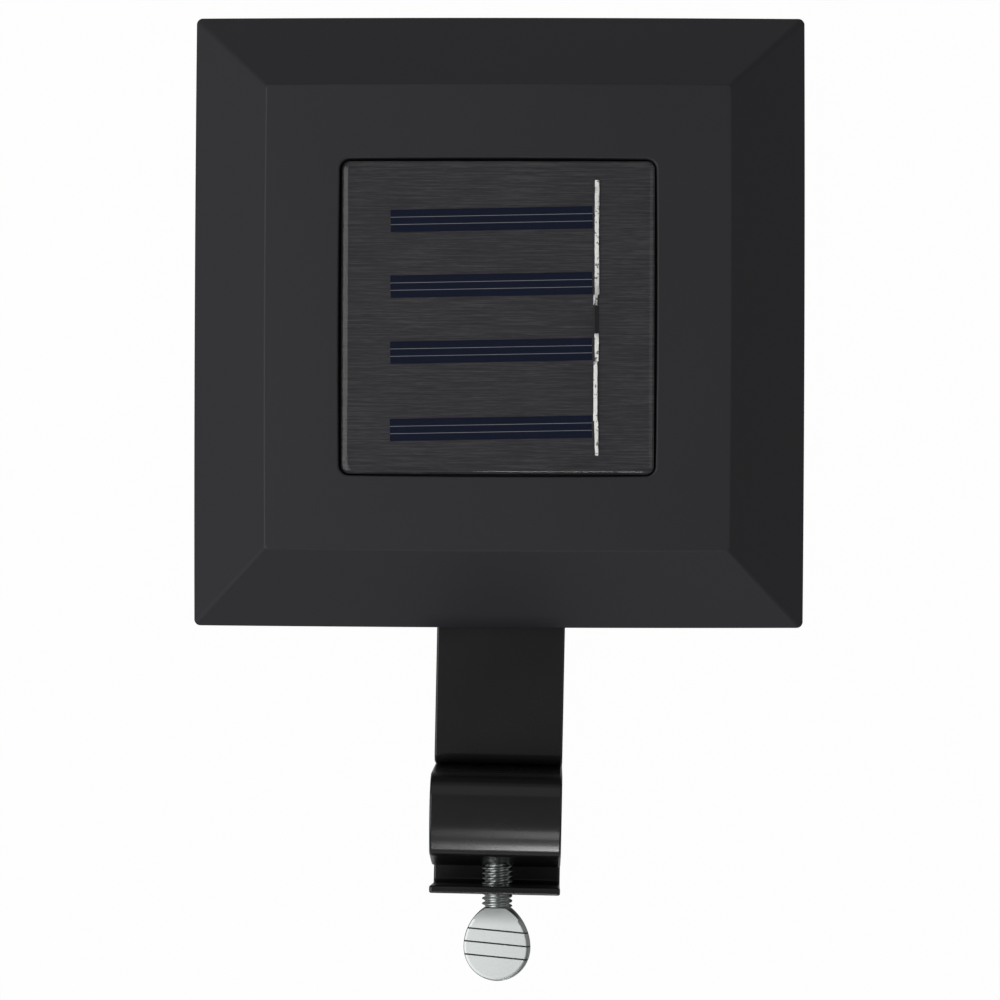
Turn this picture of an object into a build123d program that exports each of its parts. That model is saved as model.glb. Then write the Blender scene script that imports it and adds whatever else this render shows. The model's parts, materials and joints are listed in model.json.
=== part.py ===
from build123d import *
import math
import os

# Fence light: a square solar lamp that hangs beside a fence top or gutter edge on a bent strip hook.
# Millimetres, +Z up. The solar panel faces up, and +Y points from the hook to the lamp.
# Origin: the top of the space inside the hook, where the fence's edge seats.

# ---- Sizes: moulded housing ----
rim_width = 120.0             # square outline at the foot of the bevels
face_width = 89.4             # flat square top
cover_rise = 15.3             # from the rim up to the flat top
skirt_height = 5.5            # straight band below the rim
cover_wall = 2.2
rim_corner_radius = 1.2
face_corner_radius = 0.8
face_edge_radius = 0.5
rim_below_seat = 13.0         # the rim lies this far below the hook's ceiling
housing_setback = 33.55       # from the hook's seat to the housing's near side

base_thickness = 2.5
base_gap = 0.15               # base plate to skirt, each side
rib_height = 3.0              # locating rib that stands inside the cover's ledge
rib_thickness = 1.6
rib_gap = 0.3
ledge_width = 2.3             # ledge in the cover that presses the rubber ring
seal_height = 0.8             # rubber ring, squeezed
seal_side_gap = 0.2

housing_screw_inset = 10.5    # corner screws, from the rim's sides
boss_radius = 3.5
pad_radius = 4.0
pad_height = 1.2
screw_core_radius = 1.25
screw_hole_gap = 0.4          # through-hole round the screw's core
screw_core_gap = 0.05         # core to its pilot hole
core_sides = 8                # screws' cores and holes have flat sides in place of threads
head_sides = 16
screw_head_radius = 2.7
screw_head_height = 1.6
screw_sink_gap = 0.3          # counterbore round the head
screw_length = 10.0           # under the head
pilot_spare = 1.0             # pilot holes run on past the screw's end

# ---- Sizes: solar panel ----
panel_width = 60.0
panel_corner_radius = 1.5
panel_gap = 0.55              # dark line round the panel
panel_sink = 0.3              # resin's top below the flat face
resin_thickness = 1.2
resin_dome_radius = 0.8
panel_board_thickness = 1.6
foam_thickness = 0.8
foam_width = 4.0
tray_wall = 1.8
wire_slot_width = 10.0
wire_slot_depth = 4.0
wire_slot_clearance = 4.0   # slot in the tray's floor, past the battery bay's wall
cell_length = 38.7
cell_width = 4.25
cell_thickness = 0.2
cell_row_offsets = (18.75, 6.2, -6.4, -21.25)   # strips' middles, from the panel's middle
cell_shift = 1.25             # the strips sit left of the middle
cell_tilt = 0.76              # degrees, as laid by hand
ribbon_width = 1.2
ribbon_length = 52.8
ribbon_gap = 0.25             # strips' ends to the ribbon

# ---- Sizes: lens, reflector and lamp board ----
lens_width = 78.0
lens_depth = 38.0
lens_corner_radius = 4.0
lens_wall = 1.6
lens_flange = 3.0             # flange beyond the window, each side
lens_flange_thickness = 1.5
lens_proud = 1.2              # below the base's underside
lens_gap = 0.2
lens_edge_radius = 1.0
lens_margin = 9.0             # flange to the rim's far side
reflector_flange_thickness = 1.5
reflector_height = 4.8        # from its flange's foot to its top plate
reflector_wall = 1.3
reflector_top_plate = 1.2
well_width = 36.0             # the light well at its top
well_depth = 12.0
ear_radius = 2.8
ear_gap = 0.3                 # posts to the flanges
ear_spacing = 24.0            # between the two ears on one end
post_radius = 2.5
small_core_radius = 0.9
small_head_radius = 1.9
small_head_height = 1.3
small_screw_length = 4.4
small_hole_gap = 0.3
lamp_board_width = 64.0
lamp_board_depth = 20.0
lamp_board_thickness = 1.6
board_screw_inset = 3.0
led_count = 3
led_spacing = 12.0
led_length = 3.5
led_width = 2.8
led_height = 0.8
led_hole_radius = 2.6
chip_length = 4.9
chip_width = 3.9
chip_height = 1.5
chip_x = -8.0
coil_radius = 2.6
coil_height = 2.8
coil_flange = 0.6
coil_waist_radius = 1.7
coil_x = 8.0

# ---- Sizes: battery bay ----
battery_radius = 5.25
battery_length = 43.5         # without the raised end
nub_radius = 1.9
nub_length = 1.0
battery_chamfer = 0.5
bay_side_gap = 0.5
bay_wall = 1.5
bay_top_gap = 0.3
battery_lift = 0.15           # above its door
bay_to_lens = 5.0             # bay's wall to the lens flange
contact_thickness = 0.4
contact_width = 9.0
contact_height = 7.4
contact_bump_radius = 2.4
contact_bump = 1.0
contact_drop = 0.75           # the plates' middles above the battery's axis
spring_room = 5.6             # squeezed spring with its plate
spring_wire_radius = 0.3
spring_radius = 3.4
spring_end_radius = 2.2
spring_turns = 3
door_thickness = 1.6
door_ledge = 3.5
door_side_gap = 0.2
door_corner_radius = 2.0
door_screw_end = 8.0          # the door runs on this far for its screw
door_boss_radius = 3.0
door_boss_height = 4.0
hook_width = 3.0
hook_spacing = 7.0
hook_thickness = 1.2
hook_height = 1.0
hook_reach = 1.4
hook_gap = 0.2

# ---- Sizes: slide switch ----
switch_side_inset = 22.0      # from the rim's +X side
switch_near_inset = 30.0      # from the rim's near side
switch_length = 8.6
switch_width = 4.4
switch_height = 4.0
switch_ear_length = 19.0
switch_ear_thickness = 0.5
switch_ear_spacing = 15.0
switch_wall = 0.6
slider_length = 4.0           # the part that runs inside the switch
slider_stem_length = 2.6
slider_stem_width = 2.0
slider_height = 2.4
slider_gap = 0.1
slider_travel = 2.0
switch_recess_length = 11.0
switch_recess_width = 6.0
switch_recess_depth = 1.0
switch_pad_height = 2.4
terminal_width = 0.6
terminal_height = 2.0
terminal_spacing = 2.5

# ---- Sizes: strip hook ----
strip_width = 25.4
strip_thickness = 1.5
strap_under_lamp = 36.0       # how far the strap runs under the housing
strap_bend_radius = 1.55      # radii are of the strip's middle
jaw_reach = 4.3               # hook's seat to the jaw's clamping face
fold_gap = 0.3                # between the strap's drop and the jaw
fold_below_seat = 26.25
arch_radius = 15.0
arch_turn = 30.0              # degrees
arch_run = 6.1                # from the arch's corner point to the shoulder's
shoulder_radius = 3.0
far_wall_lean = 15.0          # degrees off upright, from the shoulder down to the knee
knee_below_seat = 15.5
knee_radius = 3.0
foot_wall_lean = 3.0          # degrees off upright, from the knee down to the trough
trough_below_seat = 28.15
trough_width = 5.75
trough_radius = 1.6
leg_lean = 5.5                # degrees; the leg leans in towards its lip
lip_below_seat = 4.7
bend_flat = 0.06              # straight left between two bends that follow at once
strip_end_radius = 0.6        # rounded by the powder coat
strap_screw_inset = 11.5      # first strap screw, from the housing's near side
strap_screw_spacing = 17.0
strap_screw_radius = 2.0
strap_hole_gap = 0.2
strap_head_radius = 3.8
strap_head_height = 2.4
strap_head_edge = 0.9
strap_screw_length = 9.0
strap_boss_radius = 4.5
strap_boss_height = 6.4

# ---- Sizes: thumb screw ----
thumb_screw_below_seat = 16.0
thread_radius = 3.0
thread_length = 20.0
thread_gap = 0.05             # thread crests to the two holes in the strip
shoulder_reach = 21.5         # from the seat back to the head's shoulder
spade_radius = 6.65
spade_flank_radius = 9.5
spade_flank_length = 8.1      # from the shoulder to the widest place
spade_thickness = 2.3
spade_edge = 0.35
neck_radius = 2.9
neck_length = 3.4
neck_end_radius = 1.0
head_turn = -9.0              # degrees about the screw's axis, as it was left
grip_groove_count = 3
grip_groove_spacing = 2.6
grip_groove_start = 6.2       # from the shoulder
grip_groove_width = 0.3
grip_groove_depth = 0.25
grip_groove_tilt = -3.9       # degrees
cap_radius = 4.5
cap_grip = 2.0                # how far the cap reaches back over the thread's end
cap_end_wall = 3.0
cap_edge_radius = 0.6
cap_gap = 0.08

# ---- Sizes: wires inside ----
wire_radius = 0.6
wire_sides = 6                # plain inner wires and the spring have sections with flat sides
wire_bend_radius = 1.8
wire_hole_gap = 0.15          # hole in the bay's end walls
wire_slack = 1.8              # height of the wires' loops over the lamp board
wire_lane = 6.0               # wires pass this far outside the lamp board's ends
pad_inset = 3.0               # solder pads, from the lamp board's edge
pad_x = 22.0
wire_pair_spacing = 5.0

# ---- Places worked out from the sizes ----
rim_z = -rim_below_seat
face_z = rim_z + cover_rise
underside_z = rim_z - skirt_height
base_top_z = underside_z + base_thickness
ledge_z = base_top_z + seal_height
ceiling_z = face_z - cover_wall
housing_y = housing_setback + rim_width / 2
bevel_run = (rim_width - face_width) / 2
bevel_wall = cover_wall * math.hypot(bevel_run, cover_rise) / cover_rise
skirt_room = rim_width - 2 * cover_wall
ledge_room = skirt_room - 2 * ledge_width

recess_width = panel_width + 2 * panel_gap
resin_top_z = face_z - panel_sink
panel_board_z = resin_top_z - resin_thickness
foam_top_z = panel_board_z - panel_board_thickness
tray_floor_z = foam_top_z - foam_thickness
tray_under_z = tray_floor_z - tray_wall

flange_depth = lens_depth + 2 * lens_flange
flange_width = lens_width + 2 * lens_flange
lens_y = rim_width / 2 - lens_margin - flange_depth / 2
flange_top_z = base_top_z + lens_flange_thickness
reflector_plate_z = flange_top_z + reflector_height
lamp_board_z = reflector_plate_z + reflector_top_plate
lamp_board_top_z = lamp_board_z + lamp_board_thickness
ear_x = flange_width / 2 + ear_gap + post_radius
board_screw_x = lamp_board_width / 2 - board_screw_inset

bay_length = spring_room + battery_length + nub_length + contact_bump + contact_thickness
bay_width = 2 * (battery_radius + bay_side_gap)
bay_y = lens_y - flange_depth / 2 - bay_to_lens - bay_wall - bay_width / 2
wire_slot_y = bay_y + bay_width / 2 + bay_wall + wire_slot_clearance
door_top_z = underside_z + door_thickness
battery_z = door_top_z + battery_lift + battery_radius
bay_top_z = battery_z + battery_radius + bay_top_gap
battery_end_x = -bay_length / 2 + spring_room
contact_z = battery_z + contact_drop
door_screw_x = bay_length / 2 + door_ledge + door_screw_end / 2

strap_z = underside_z - strip_thickness / 2
jaw_y = jaw_reach + strip_thickness / 2
drop_y = jaw_y + strip_thickness + fold_gap
thumb_screw_z = -thumb_screw_below_seat
head_angle = Rot(0, head_turn, 0)
strap_under_z = strap_z - strip_thickness / 2
screw_tip_y = thread_length - shoulder_reach
switch_x = rim_width / 2 - switch_side_inset
switch_y = switch_near_inset - rim_width / 2
switch_seat_z = base_top_z + switch_pad_height
terminal_z = switch_seat_z + switch_height + terminal_height / 2
terminal_face_y = switch_y + terminal_width / 2
pad_y = lens_y - lamp_board_depth / 2 + pad_inset
led_columns = [(step - (led_count - 1) / 2) * led_spacing for step in range(led_count)]
door_hook_rows = (bay_y - hook_spacing / 2, bay_y + hook_spacing / 2)
door_screw_at = (door_screw_x, housing_y + bay_y)
door_screw_sink = door_thickness / 2
wire_loop_z = lamp_board_top_z + wire_slack + wire_radius
wire_lane_x = lamp_board_width / 2 + wire_lane
switch_lane_x = max(wire_lane_x, switch_x)


# ---- Helpers ----
def on_housing(x, y):
    """A place given from the housing's middle."""
    return (x, housing_y + y)


def block(width, depth, low, high, at, corner=0.0):
    """An upright block from one height to another, its upright edges rounded by corner."""
    outline = RectangleRounded(width, depth, corner) if corner else Rectangle(width, depth)
    return Pos(at[0], at[1], low) * extrude(outline, high - low)


def post(radius, low, high, at):
    """An upright round post from one height to another."""
    return Pos(at[0], at[1], low) * extrude(Circle(radius), high - low)


def core(radius, low, high, at, sides=core_sides):
    """A screw's core or its hole: an upright post with flat sides in place of the fine thread."""
    return Pos(at[0], at[1], low) * extrude(RegularPolygon(radius, sides), high - low)


def screw_head(radius, low, high, at, edge, outer_end):
    """A screw's head, its outer end (0 the low one, -1 the high one) bevelled."""
    head = core(radius, low, high, at, head_sides)
    return chamfer(head.faces().sort_by(Axis.Z)[outer_end].outer_wire().edges(), edge)


def pyramid(low_size, high_size, low, high, at, low_corner=0.0, high_corner=0.0):
    """A block whose sides lean in straight from one outline to the other."""
    outlines = []
    for size, corner, level in ((low_size, low_corner, low), (high_size, high_corner, high)):
        outline = RectangleRounded(*size, corner) if corner else Rectangle(*size)
        outlines.append(Pos(at[0], at[1], level) * outline)
    return loft(outlines, ruled=True)


def group(shapes):
    """Separate solids that share one node."""
    return Compound(children=list(shapes))


def wire_section(path, radius):
    """The section that is swept along a wire's path, square to its start."""
    start = Plane(origin=path @ 0, z_dir=path % 0)
    return start * RegularPolygon(radius, wire_sides)


def mirrored_places(x, y):
    return [(x, y), (-x, y), (x, -y), (-x, -y)]


# ---- Housing ----
def housing_screw_places():
    reach = rim_width / 2 - housing_screw_inset
    return [on_housing(x, y) for x, y in mirrored_places(reach, reach)]


def cover_outside():
    centre = on_housing(0, 0)
    skirt = block(rim_width, rim_width, underside_z, rim_z, centre, rim_corner_radius)
    bevels = pyramid((rim_width, rim_width), (face_width, face_width), rim_z, face_z, centre,
                     rim_corner_radius, face_corner_radius)
    return skirt + bevels


def cover_inside():
    """The hollow of the cover: bevelled above, straight inside the ledge, wider for the base."""
    centre = on_housing(0, 0)
    foot = rim_width - 2 * bevel_wall
    top = foot - 2 * bevel_run * (ceiling_z - rim_z) / cover_rise
    bevelled = pyramid((foot, foot), (top, top), rim_z, ceiling_z, centre)
    bevelled += block(foot, foot, ledge_z, rim_z, centre)
    room = bevelled & block(ledge_room, ledge_room, ledge_z, ceiling_z, centre)
    return room + block(skirt_room, skirt_room, underside_z, ledge_z, centre)


def top_cover():
    centre = on_housing(0, 0)
    outside = cover_outside()
    tray_width = recess_width + 2 * tray_wall
    bosses = [post(boss_radius, base_top_z + pad_height, face_z, at) for at in housing_screw_places()]
    inside = cover_inside() - block(tray_width, tray_width, tray_under_z, face_z, centre) - bosses
    cover = outside - inside
    cover = fillet(cover.faces().sort_by(Axis.Z)[-1].outer_wire().edges(), face_edge_radius)
    cover -= block(recess_width, recess_width, tray_floor_z, face_z, centre,
                   panel_corner_radius + panel_gap)
    cover -= block(wire_slot_width, wire_slot_depth, tray_under_z, tray_floor_z,
                   on_housing(0, wire_slot_y))
    pilot_end = underside_z + screw_head_height + screw_length + pilot_spare
    for at in housing_screw_places():
        cover -= core(screw_core_radius + screw_core_gap, base_top_z, pilot_end, at)
    return cover


def housing_seal():
    """Rubber ring between the base's edge and the cover's ledge, outside the locating rib."""
    centre = on_housing(0, 0)
    outer = skirt_room - 2 * seal_side_gap
    inner = ledge_room - 2 * rib_gap + 2 * seal_side_gap
    ring = block(outer, outer, base_top_z, ledge_z, centre)
    return ring - block(inner, inner, base_top_z, ledge_z, centre)


def housing_screws():
    head_foot = underside_z + screw_head_height
    screws = []
    for at in housing_screw_places():
        head = screw_head(screw_head_radius, underside_z, head_foot, at, screw_head_height / 2, 0)
        screws.append(head + core(screw_core_radius, head_foot, head_foot + screw_length, at))
    return group(screws)


# ---- Solar panel ----
def panel_layer(low, high, corner=panel_corner_radius):
    return block(panel_width, panel_width, low, high, on_housing(0, 0), corner)


def panel_seal():
    window = panel_width - 2 * foam_width
    ring = panel_layer(tray_floor_z, foam_top_z)
    return ring - block(window, window, tray_floor_z, foam_top_z, on_housing(0, 0))


def panel_board():
    return panel_layer(foam_top_z, panel_board_z)


def cell_strips():
    strips = []
    for offset in cell_row_offsets:
        place = Pos(-cell_shift, housing_y + offset, panel_board_z) * Rot(0, 0, cell_tilt)
        strips.append(place * extrude(Rectangle(cell_length, cell_width), cell_thickness))
    return group(strips)


def cell_ribbon():
    x = cell_length / 2 - cell_shift + ribbon_gap + ribbon_width / 2
    return block(ribbon_width, ribbon_length, panel_board_z, panel_board_z + cell_thickness,
                 on_housing(x, 0))


def panel_resin():
    resin = panel_layer(panel_board_z, resin_top_z)
    resin = fillet(resin.faces().sort_by(Axis.Z)[-1].outer_wire().edges(), resin_dome_radius)
    return resin - cell_strips().children - cell_ribbon()


# ---- Base plate and what opens in it ----
def strap_screw_places():
    first = housing_setback + strap_screw_inset
    return [(0, first), (0, first + strap_screw_spacing)]


def ear_places():
    return [on_housing(side * ear_x, lens_y + end * ear_spacing / 2)
            for side in (-1, 1) for end in (-1, 1)]


def switch_screw_places():
    return [on_housing(switch_x + side * switch_ear_spacing / 2, switch_y) for side in (-1, 1)]


def base_plate():
    plate = base_body() - bay_hollow() - lens_window() - switch_window()
    for at in housing_screw_places():
        plate -= core(screw_head_radius + screw_sink_gap, underside_z,
                      underside_z + screw_head_height, at, head_sides)
        plate -= core(screw_core_radius + screw_hole_gap, underside_z, base_top_z + pad_height, at)
    pilot = small_core_radius + screw_core_gap
    ear_pilot_z = flange_top_z + reflector_flange_thickness - small_screw_length
    for at in ear_places():
        plate -= core(pilot, ear_pilot_z, flange_top_z, at)
    for at in switch_screw_places():
        plate -= core(pilot, switch_seat_z + switch_ear_thickness - small_screw_length,
                      switch_seat_z, at)
    for at in strap_screw_places():
        plate -= core(strap_screw_radius + screw_core_gap, underside_z,
                      strap_under_z + strap_screw_length + pilot_spare, at)
    return plate


def base_body():
    """The plate with everything that stands on it: rib, screw pads, bosses and battery bay."""
    centre = on_housing(0, 0)
    outline = skirt_room - 2 * base_gap
    rib_outer = ledge_room - 2 * rib_gap
    rib_inner = rib_outer - 2 * rib_thickness
    rib_top = base_top_z + rib_height
    rib = block(rib_outer, rib_outer, base_top_z, rib_top, centre)
    rib -= block(rib_inner, rib_inner, base_top_z, rib_top, centre)
    body = block(outline, outline, underside_z, base_top_z, centre) + rib
    for at in housing_screw_places():
        body += post(pad_radius, base_top_z, base_top_z + pad_height, at)
    for at in ear_places():
        body += post(post_radius, base_top_z, flange_top_z, at)
    for at in switch_screw_places():
        body += post(small_head_radius, base_top_z, switch_seat_z, at)
    for at in strap_screw_places():
        body += post(strap_boss_radius, base_top_z, base_top_z + strap_boss_height, at)
    body += block(bay_length + 2 * bay_wall, bay_width + 2 * bay_wall, base_top_z,
                  bay_top_z + bay_wall, on_housing(0, bay_y))
    return body + post(door_boss_radius, base_top_z, base_top_z + door_boss_height, door_screw_at)


def lens_window():
    return block(lens_width + 2 * lens_gap, lens_depth + 2 * lens_gap, underside_z, base_top_z,
                 on_housing(0, lens_y), lens_corner_radius + lens_gap)


def switch_window():
    """A shallow finger recess, and the slot that the switch's stem runs in."""
    middle = on_housing(switch_x, switch_y)
    slot_length = slider_stem_length + slider_travel + 4 * slider_gap
    recess = block(switch_recess_length, switch_recess_width, underside_z,
                   underside_z + switch_recess_depth, middle, switch_recess_depth)
    slot_width = slider_stem_width + 4 * slider_gap
    return recess + block(slot_length, slot_width, underside_z, base_top_z, middle)


def door_outline(gap, low, high):
    length = bay_length + 2 * door_ledge + door_screw_end - 2 * gap
    depth = bay_width + 2 * door_ledge - 2 * gap
    return block(length, depth, low, high, on_housing(door_screw_end / 2, bay_y),
                 door_corner_radius)


def bay_hollow():
    """What is cut away for the battery, its door, the door's hooks and screw, and the wires."""
    hollow = block(bay_length, bay_width, underside_z, bay_top_z, on_housing(0, bay_y))
    hollow += door_outline(0, underside_z, door_top_z)
    for y in door_hook_rows:
        hollow += block(2 * bay_wall, hook_width + 2 * hook_gap, base_top_z,
                        base_top_z + hook_height + 2 * hook_gap, on_housing(-bay_length / 2, y))
    hollow += core(small_core_radius + screw_core_gap, door_top_z,
                   door_top_z + small_screw_length, door_screw_at)
    through = bay_length + 4 * bay_wall
    return hollow + Pos(0, housing_y + bay_y, contact_z) * Rot(0, 90, 0) * Cylinder(
        wire_radius + wire_hole_gap, through)


# ---- Lens, reflector and lamp board ----
def lens():
    """A frosted tray: its flange lies on the base, its floor stands out below."""
    middle = on_housing(0, lens_y)
    low = underside_z - lens_proud
    tray = block(lens_width, lens_depth, low, flange_top_z, middle, lens_corner_radius)
    tray = fillet(tray.faces().sort_by(Axis.Z)[0].outer_wire().edges(), lens_edge_radius)
    tray += block(flange_width, flange_depth, base_top_z, flange_top_z, middle)
    return tray - block(lens_width - 2 * lens_wall, lens_depth - 2 * lens_wall, low + lens_wall,
                        flange_top_z, middle, lens_corner_radius - lens_wall)


def reflector():
    """A white tray over the lens: flange with four ears, leaning walls, a top plate for the board."""
    middle = on_housing(0, lens_y)
    mouth = (lens_width - 2 * lens_wall, lens_depth - 2 * lens_wall)
    well = (well_width, well_depth)
    outer_mouth = tuple(size + 2 * reflector_wall for size in mouth)
    outer_well = tuple(size + 2 * reflector_wall for size in well)
    flange_top = flange_top_z + reflector_flange_thickness
    tray = block(flange_width, flange_depth, flange_top_z, flange_top, middle)
    tray += pyramid(outer_mouth, outer_well, flange_top_z, reflector_plate_z, middle)
    tray += block(lamp_board_width, lamp_board_depth, flange_top, lamp_board_z, middle)
    for x, y in ear_places():
        bridge = 2 * (ear_x - flange_width / 2)
        tray += post(ear_radius, flange_top_z, flange_top, (x, y))
        tray += block(bridge, 2 * ear_radius, flange_top_z, flange_top,
                      (math.copysign(flange_width / 2, x), y))
        tray -= core(small_core_radius + small_hole_gap, flange_top_z, flange_top, (x, y))
    tray -= pyramid(mouth, well, flange_top_z, reflector_plate_z, middle)
    for x in led_columns:
        tray -= post(led_hole_radius, reflector_plate_z, lamp_board_z, on_housing(x, lens_y))
    for at in board_screw_places():
        tray -= core(small_core_radius + screw_core_gap, lamp_board_top_z - small_screw_length,
                     lamp_board_z, at)
    return tray


def board_screw_places():
    return [on_housing(side * board_screw_x, lens_y) for side in (-1, 1)]


def small_screws(places, seat_z, upwards=False):
    """Small round-headed screws; seat_z is the level that the heads press on."""
    head = screw_head(small_head_radius, 0, small_head_height, (0, 0), small_head_height / 2, -1)
    screw = head + core(small_core_radius, -small_screw_length, 0, (0, 0))
    turn = Rot(180 if upwards else 0, 0, 0)
    return group(Pos(at[0], at[1], seat_z) * turn * screw for at in places)


def reflector_screws():
    return small_screws(ear_places(), flange_top_z + reflector_flange_thickness)


def board_screws():
    return small_screws(board_screw_places(), lamp_board_top_z)


def led_board():
    board = block(lamp_board_width, lamp_board_depth, lamp_board_z, lamp_board_top_z,
                  on_housing(0, lens_y))
    for at in board_screw_places():
        board -= core(small_core_radius + small_hole_gap, lamp_board_z, lamp_board_top_z, at)
    return board


def leds():
    return group(block(led_length, led_width, lamp_board_z - led_height, lamp_board_z,
                       on_housing(x, lens_y)) for x in led_columns)


def driver_chip():
    return block(chip_length, chip_width, lamp_board_top_z, lamp_board_top_z + chip_height,
                 on_housing(chip_x, lens_y))


def inductor():
    """A drum core: two flanges and a wound waist."""
    at = on_housing(coil_x, lens_y)
    top = lamp_board_top_z + coil_height
    drum = post(coil_radius, lamp_board_top_z, lamp_board_top_z + coil_flange, at)
    drum += post(coil_waist_radius, lamp_board_top_z, top, at)
    return drum + post(coil_radius, top - coil_flange, top, at)


# ---- Battery bay's contents ----
def level_rod(radius, start, length, y, z):
    """A round bar along +X."""
    bar = Cylinder(radius, length, align=(Align.CENTER, Align.CENTER, Align.MIN))
    return Pos(start, y, z) * Rot(0, 90, 0) * bar


def battery_cell():
    y = housing_y + bay_y
    can = level_rod(battery_radius, battery_end_x, battery_length, y, battery_z)
    can = chamfer(can.edges().filter_by(GeomType.CIRCLE), battery_chamfer)
    return can + level_rod(nub_radius, battery_end_x + battery_length, nub_length, y, battery_z)


def contact_plate(start):
    plate = Box(contact_thickness, contact_width, contact_height,
                align=(Align.MIN, Align.CENTER, Align.CENTER))
    return Pos(start, housing_y + bay_y, contact_z) * plate


def battery_spring():
    """A tapered coil on its plate: one unbroken wire from the plate to the battery's end."""
    plate_face = -bay_length / 2 + contact_thickness
    seat_x = plate_face + spring_wire_radius / 2
    reach = battery_end_x - spring_wire_radius - seat_x
    taper = math.degrees(math.atan2(spring_radius - spring_end_radius, reach))
    path = Helix(reach / spring_turns, reach, spring_radius, cone_angle=-taper)
    coil = sweep(wire_section(path, spring_wire_radius), path)
    seat = Pos(seat_x, housing_y + bay_y, battery_z) * Rot(0, 90, 0)
    return contact_plate(-bay_length / 2) + seat * coil


def battery_contact():
    """The plate at the battery's raised end, with a pressed bump."""
    face = bay_length / 2 - contact_thickness
    bump = level_rod(contact_bump_radius, face - contact_bump, contact_bump, housing_y + bay_y,
                     battery_z)
    return contact_plate(face) + bump


def battery_cover():
    """The door: two hooks at one end, one screw at the other."""
    door = door_outline(door_side_gap, underside_z, door_top_z)
    hook_top = base_top_z + hook_gap + hook_height
    edge = -bay_length / 2
    for y in door_hook_rows:
        upright = edge + hook_gap + hook_thickness / 2
        door += block(hook_thickness, hook_width, door_top_z, hook_top, on_housing(upright, y))
        tongue = hook_reach + hook_gap + hook_thickness
        door += block(tongue, hook_width, base_top_z + hook_gap, hook_top,
                      on_housing(edge - hook_reach + tongue / 2, y))
    door -= core(small_head_radius + screw_sink_gap, underside_z,
                 underside_z + door_screw_sink, door_screw_at, head_sides)
    return door - core(small_core_radius + small_hole_gap, underside_z, door_top_z, door_screw_at)


def battery_cover_screw():
    return small_screws([door_screw_at], underside_z + door_screw_sink, upwards=True)


# ---- Slide switch ----
def switch_body():
    """A metal can over its ear plate, hollow for the slider, with three terminals on top."""
    middle = on_housing(switch_x, switch_y)
    ear_top = switch_seat_z + switch_ear_thickness
    top = switch_seat_z + switch_height
    body = block(switch_length, switch_width, ear_top, top, middle)
    body += block(switch_ear_length, switch_width, switch_seat_z, ear_top, middle)
    body -= block(slider_length + slider_travel + 2 * slider_gap, switch_width - 2 * switch_wall,
                  ear_top, ear_top + slider_height + 2 * slider_gap, middle)
    body -= block(slider_stem_length + slider_travel + 2 * slider_gap,
                  slider_stem_width + 2 * slider_gap, switch_seat_z, ear_top, middle)
    for at in switch_screw_places():
        body -= core(small_core_radius + small_hole_gap, switch_seat_z, ear_top, at)
    for step in (-1, 0, 1):
        body += block(terminal_width, terminal_width, top, top + terminal_height,
                      on_housing(switch_x + step * terminal_spacing, switch_y))
    return body


def switch_slider():
    """Runs inside the can; its stem comes down through the base into the finger recess."""
    at = on_housing(switch_x - slider_travel / 2, switch_y)
    foot = switch_seat_z + switch_ear_thickness + slider_gap
    slider = block(slider_length, switch_width - 2 * switch_wall - 2 * slider_gap, foot,
                   foot + slider_height, at)
    return slider + block(slider_stem_length, slider_stem_width, underside_z + slider_gap, foot, at)


def switch_screws():
    return small_screws(switch_screw_places(), switch_seat_z + switch_ear_thickness)


# ---- Strip hook ----
def leaning(degrees, height):
    """How far a leaning wall moves sideways over a height."""
    return height * math.tan(math.radians(degrees))


def strip_line():
    """The strip's middle as (y, z) corners, from its end under the lamp to its lip, with the bends."""
    slope = math.radians(arch_turn)
    arch_y = -arch_radius * math.tan(slope / 2)
    crown_z = strip_thickness / 2
    shoulder_y = arch_y - arch_run * math.cos(slope)
    shoulder_z = crown_z - arch_run * math.sin(slope)
    knee_y = shoulder_y - leaning(far_wall_lean, shoulder_z + knee_below_seat)
    trough_y = knee_y - leaning(foot_wall_lean, trough_below_seat - knee_below_seat)
    leg_y = trough_y - trough_width
    lip_y = leg_y + leaning(leg_lean, trough_below_seat - lip_below_seat)
    corners = [(housing_setback + strap_under_lamp, strap_z), (drop_y, strap_z),
               (drop_y, -fold_below_seat), (jaw_y, -fold_below_seat), (jaw_y, crown_z),
               (arch_y, crown_z), (shoulder_y, shoulder_z), (knee_y, -knee_below_seat),
               (trough_y, -trough_below_seat), (leg_y, -trough_below_seat), (lip_y, -lip_below_seat)]
    fold_radius = (drop_y - jaw_y - bend_flat) / 2
    bends = [strap_bend_radius, fold_radius, fold_radius, jaw_y - bend_flat, arch_radius,
             shoulder_radius, knee_radius, trough_radius, trough_radius]
    return [Vector(*corner) for corner in corners], bends


def shifted_line(corners, bends, shift):
    """The same bent line moved to its left by shift, with its bends tighter or wider."""
    runs = [(after - before).normalized() for before, after in zip(corners, corners[1:])]
    runs = [runs[0]] + runs + [runs[-1]]
    moved = []
    for corner, before, after in zip(corners, runs, runs[1:]):
        across = Vector(-before.Y - after.Y, before.X + after.X)
        moved.append(corner + across * (shift / (1 + before.dot(after))))
    shifted_bends = []
    for bend, before, after in zip(bends, runs[1:], runs[2:]):
        shifted_bends.append(bend - shift * math.copysign(1, before.cross(after).Z))
    return moved, shifted_bends


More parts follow.
